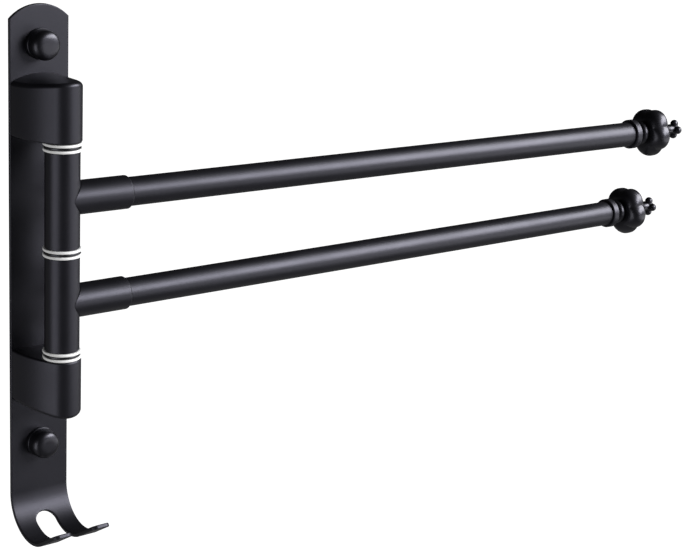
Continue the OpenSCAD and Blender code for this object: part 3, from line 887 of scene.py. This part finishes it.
class TOWEL_OT_finials(bpy.types.Operator):
    """Build the crown finials with their lobes and buttons"""

    bl_idname = "towel.finials"
    bl_label = "Crown Finials"

    def execute(self, context):
        sizes = context.scene.towel_finials
        for arm in ARMS:
            first = span_on_arm(f"{arm}_collar", arm)[1]
            core = sizes.button_core
            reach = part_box(f"{arm}_finial")[1].x - PIVOT.x - core
            tip = reach / math.cos(arm_way(arm)) + core - first
            shape = place(finial_shape(sizes, tip), along_arm(arm, first))
            piece(f"{arm}_crown_finial", shape, f"{arm}_arm", "gloss_black", f"{arm}_finial")
        return {"FINISHED"}


# Screw caps

# Facets of a cap's dome, from its side to its top
DOME_FACETS = 24


def cap_base(sizes, flange, tall):
    """A cap's base, standing with its flange on z = 0: the boss is bored and recessed for a screw's head."""
    recess = tall - sizes.recess_depth
    return bored([
        (sizes.hole_radius, 0, 0), (flange, 0, 0), (flange, sizes.flange_height, sizes.rim_round),
        (sizes.boss_radius, sizes.flange_height, 0), (sizes.boss_radius, tall, sizes.rim_round / 2),
        (sizes.recess_radius, tall, 0), (sizes.recess_radius, recess, 0), (sizes.hole_radius, recess, 0),
    ])


def cap_dome(sizes, radius, tall):
    """A hollow domed cap, standing with its rim on z = 0."""
    inner = sizes.boss_radius
    ceiling = tall - sizes.top_wall
    dome = tall - sizes.side_height
    profile = rounded([(inner, 0, 0), (radius, 0, sizes.rim_round), (radius, sizes.side_height, 0)])
    for k in range(1, DOME_FACETS):
        turn = math.pi / 2 * k / DOME_FACETS
        reach = radius * math.cos(turn) ** sizes.dome_power
        profile.append(Vector((reach, sizes.side_height + dome * math.sin(turn))))
    profile += rounded([(0, tall, 0), (0, ceiling, 0), (inner, ceiling, 0), (inner, 0, 0)])
    return turned(profile)


class TOWEL_OT_caps(bpy.types.Operator):
    """Build the screw caps: flanged bases and domed caps"""

    bl_idname = "towel.caps"
    bl_label = "Screw Caps"

    def execute(self, context):
        sizes = context.scene.towel_caps
        for side in ARMS:
            base = f"{side}_cap_base"
            shape = cap_base(sizes, extent(base).x / 2, extent(base).y)
            place(shape, out_of_wall(middle(base).z, PLATE_THICK))
            piece(f"{side}_cap_flange", shape, "wall_frame", "gloss_black", base)
            cap = f"{side}_cap"
            shape = cap_dome(sizes, extent(cap).x / 2, extent(cap).y)
            place(shape, out_of_wall(middle(cap).z, -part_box(cap)[1].y))
            piece(f"{side}_cap_dome", shape, "wall_frame", "gloss_black", cap)
        return {"FINISHED"}


# Rod, screws and plugs keep their own shapes

class TOWEL_OT_hardware(bpy.types.Operator):
    """Give the rod, the screws and the plugs their zinc finish"""

    bl_idname = "towel.hardware"
    bl_label = "Rod, Screws and Plugs"

    def execute(self, context):
        slots = {part["node"]: part["material_slot"] for part in frame["record"]["subparts"]}
        for name, part in frame["nodes"].items():
            if not part.hide_render:
                part.data.materials.clear()
                part.data.materials.append(finish_of(slots[name]))
        return {"FINISHED"}


# Stage: camera, floor and light

class StageSettings(bpy.types.PropertyGroup):
    camera_place: FloatVectorProperty(
        name="Camera Place", description="Where the camera stands", default=(-0.4121, -0.7299, 0.2349),
        size=3, subtype="TRANSLATION", unit="LENGTH",
    )
    camera_lens: FloatProperty(
        name="Lens", description="Focal length in millimetres", default=94.29, min=10, max=300,
    )
    camera_heading: angle("Heading", 39.5, "How far the camera looks to the right of straight at the wall")
    camera_pitch: angle("Pitch", 16.26, "How far the camera looks down")
    camera_roll: angle("Roll", 2.81, "How far the camera leans")
    floor_drop: length("Floor Drop", 3, "Distance of the floor under the object", high=6)


# Strength of the world on the object, and of world and floor in reflections, which show a dark room
WORLD_SHINE = 0.14
WORLD_REFLECTED = 0.02
FLOOR_REFLECTED = 0.02
FLOOR_RADIUS = 30
# Soft boxes: name, place, target and size in metres, power in watts, and lean in degrees
PANELS = (
    ("key_panel", (1.25, -1.0, 0.76), (0.15, 0, 0), (1.7, 0.75), 60, 14),
    ("left_panel", (-1.18, -0.3, -0.28), (0, 0, 0), (1.0, 0.9), 6, 0),
    ("right_panel", (1.0, -0.75, -0.3), (0, 0, 0), (1.8, 0.4), 4.3, 0),
)


def aim_camera(stage):
    """Places the camera where the photograph was taken from."""
    heading, pitch, roll = stage.camera_heading, stage.camera_pitch, stage.camera_roll
    forward = Vector((
        math.sin(heading) * math.cos(pitch), math.cos(heading) * math.cos(pitch), -math.sin(pitch),
    ))
    right = Vector((math.cos(heading), -math.sin(heading), 0))
    up = right.cross(forward)
    leaned_right = math.cos(roll) * right + math.sin(roll) * up
    leaned_up = -math.sin(roll) * right + math.cos(roll) * up
    data = bpy.data.cameras.new("camera")
    data.lens = stage.camera_lens
    data.sensor_width = 36
    data.sensor_fit = "HORIZONTAL"
    data.clip_start = 0.01
    data.clip_end = 50
    camera = bpy.data.objects.new("camera", data)
    turn = Matrix((leaned_right, leaned_up, -forward)).transposed()
    camera.matrix_world = Matrix.Translation(stage.camera_place) @ turn.to_4x4()
    bpy.context.scene.collection.objects.link(camera)
    bpy.context.scene.camera = camera


def area_light(name, place_at, target, size, watts, lean):
    """A soft box that faces a target, leaned about its own axis by some degrees."""
    data = bpy.data.lights.new(name, "AREA")
    data.shape = "RECTANGLE"
    data.size, data.size_y = size
    data.energy = watts
    light = bpy.data.objects.new(name, data)
    toward = (Vector(target) - Vector(place_at)).to_track_quat("-Z", "Y")
    turned_box = toward.to_matrix().to_4x4() @ Matrix.Rotation(math.radians(lean), 4, "Z")
    light.matrix_world = Matrix.Translation(place_at) @ turned_box
    bpy.context.scene.collection.objects.link(light)


def shown_strength(tree, shine, reflected, target):
    """Feeds a strength: white to the camera and through glass, dim in reflections, else the shine."""
    rays = node(tree, "ShaderNodeLightPath")
    seen = node(tree, "ShaderNodeMath", operation="MAXIMUM")
    dim = node(tree, "ShaderNodeMapRange", {"To Min": shine, "To Max": reflected})
    shown = node(tree, "ShaderNodeMix", {"B": 1.0}, data_type="FLOAT")
    tree.links.new(rays.outputs["Is Camera Ray"], seen.inputs[0])
    tree.links.new(rays.outputs["Is Transmission Ray"], seen.inputs[1])
    tree.links.new(rays.outputs["Is Glossy Ray"], dim.inputs["Value"])
    tree.links.new(seen.outputs["Value"], shown.inputs["Factor"])
    tree.links.new(dim.outputs["Result"], shown.inputs["A"])
    tree.links.new(shown.outputs["Result"], target)


def white_floor(stage):
    """A wide pale floor that shows white and keeps the object's shadow."""
    shape = bmesh.new()
    bmesh.ops.create_circle(shape, cap_ends=True, segments=64, radius=FLOOR_RADIUS)
    place(shape, Matrix.Translation((0, 0, CAD_BOX[0].z - stage.floor_drop)))
    mesh = bpy.data.meshes.new("floor")
    shape.to_mesh(mesh)
    shape.free()
    floor = bpy.data.objects.new("floor", mesh)
    bpy.context.scene.collection.objects.link(floor)
    material, tree, shader = new_finish("pale_floor")
    shader.inputs["Base Color"].default_value = (0.8, 0.8, 0.8, 1)
    shader.inputs["Roughness"].default_value = 0.9
    shader.inputs["Specular IOR Level"].default_value = 0
    glow = node(tree, "ShaderNodeEmission", {"Color": (1, 1, 1, 1)})
    both = node(tree, "ShaderNodeAddShader")
    shown_strength(tree, 0, FLOOR_REFLECTED, glow.inputs["Strength"])
    tree.links.new(shader.outputs["BSDF"], both.inputs[0])
    tree.links.new(glow.outputs["Emission"], both.inputs[1])
    tree.links.new(both.outputs["Shader"], tree.nodes["Material Output"].inputs["Surface"])
    mesh.materials.append(material)


def white_world():
    """A world that shows white, shines softly and is dimmer in reflections."""
    world = bpy.data.worlds.new("studio")
    bpy.context.scene.world = world
    world.use_nodes = True
    background = world.node_tree.nodes["Background"]
    background.inputs["Color"].default_value = (1, 1, 1, 1)
    shown_strength(world.node_tree, WORLD_SHINE, WORLD_REFLECTED, background.inputs["Strength"])


class TOWEL_OT_stage(bpy.types.Operator):
    """Set up the camera, the floor and the light"""

    bl_idname = "towel.stage"
    bl_label = "Stage"

    def execute(self, context):
        stage = context.scene.towel_stage
        context.scene.view_settings.view_transform = "Standard"
        aim_camera(stage)
        white_floor(stage)
        white_world()
        for panel in PANELS:
            area_light(*panel)
        return {"FINISHED"}


class TOWEL_PT_panel(bpy.types.Panel):
    """Lists the steps that build the towel bar"""

    bl_idname = "TOWEL_PT_panel"
    bl_label = "Towel Bar"
    bl_space_type = "VIEW_3D"
    bl_region_type = "UI"
    bl_category = "Towel Bar"

    def draw(self, context):
        for step in STEPS:
            self.layout.operator(step.bl_idname)
        for group in GROUPS:
            box = self.layout.box()
            box.label(text=GROUPS[group].__name__)
            for key in GROUPS[group].__annotations__:
                box.prop(getattr(context.scene, group), key)


STEPS = (
    TOWEL_OT_stage, TOWEL_OT_plate, TOWEL_OT_brackets, TOWEL_OT_rings, TOWEL_OT_sleeves,
    TOWEL_OT_sockets, TOWEL_OT_bars, TOWEL_OT_finials, TOWEL_OT_caps, TOWEL_OT_hardware,
)
GROUPS = {
    "towel_plate": PlateSizes,
    "towel_brackets": BracketSizes,
    "towel_pivot": PivotSizes,
    "towel_arms": ArmSizes,
    "towel_finials": FinialSizes,
    "towel_caps": CapSizes,
    "towel_finishes": Finishes,
    "towel_stage": StageSettings,
}


def register():
    for made in (*GROUPS.values(), *STEPS, TOWEL_PT_panel):
        bpy.utils.register_class(made)
    for name, group in GROUPS.items():
        setattr(bpy.types.Scene, name, PointerProperty(type=group))


def unregister():
    for name in GROUPS:
        delattr(bpy.types.Scene, name)
    for made in reversed((*GROUPS.values(), *STEPS, TOWEL_PT_panel)):
        bpy.utils.unregister_class(made)


def main():
    register()
    bpy.ops.towel.stage()
    bpy.ops.towel.plate()
    bpy.ops.towel.brackets()
    bpy.ops.towel.rings()
    bpy.ops.towel.sleeves()
    bpy.ops.towel.sockets()
    bpy.ops.towel.bars()
    bpy.ops.towel.finials()
    bpy.ops.towel.caps()
    bpy.ops.towel.hardware()


if __name__ == "__main__":
    main()
